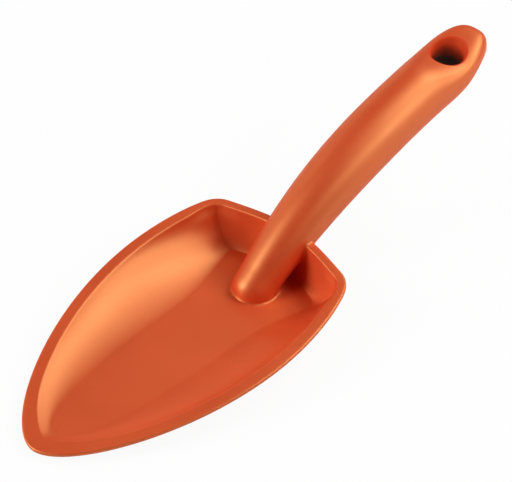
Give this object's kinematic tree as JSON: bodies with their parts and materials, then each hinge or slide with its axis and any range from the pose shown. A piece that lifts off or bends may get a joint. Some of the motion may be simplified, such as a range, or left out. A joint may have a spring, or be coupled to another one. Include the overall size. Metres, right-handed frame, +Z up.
{
  "type": "hand trowel",
  "caption": "Moulded plastic hand trowel with a deep lipped scoop, an arched round handle that runs down into the scoop, and a hanging hole",
  "frame": {"origin": "on the ground under the flat scoop floor, half way along the whole length, in the middle plane", "axes": "+X runs from the blade tip to the handle end, +Y is the left side seen from the tip looking to the handle, +Z is up out of the scoop"},
  "size_m": [0.2806, 0.0976, 0.0694],
  "materials": {
    "blade_plastic": "satin moulded terracotta",
    "handle_plastic": "satin moulded terracotta",
    "pin_plastic": "natural, plain"
  },
  "bodies": {
    "root": {"blade": "blade_plastic", "handle_upper_shell": "handle_plastic", "handle_lower_shell": "handle_plastic", "tang_pins": "pin_plastic", "hang_sleeve": "handle_plastic"}
  },
  "joints": []
}
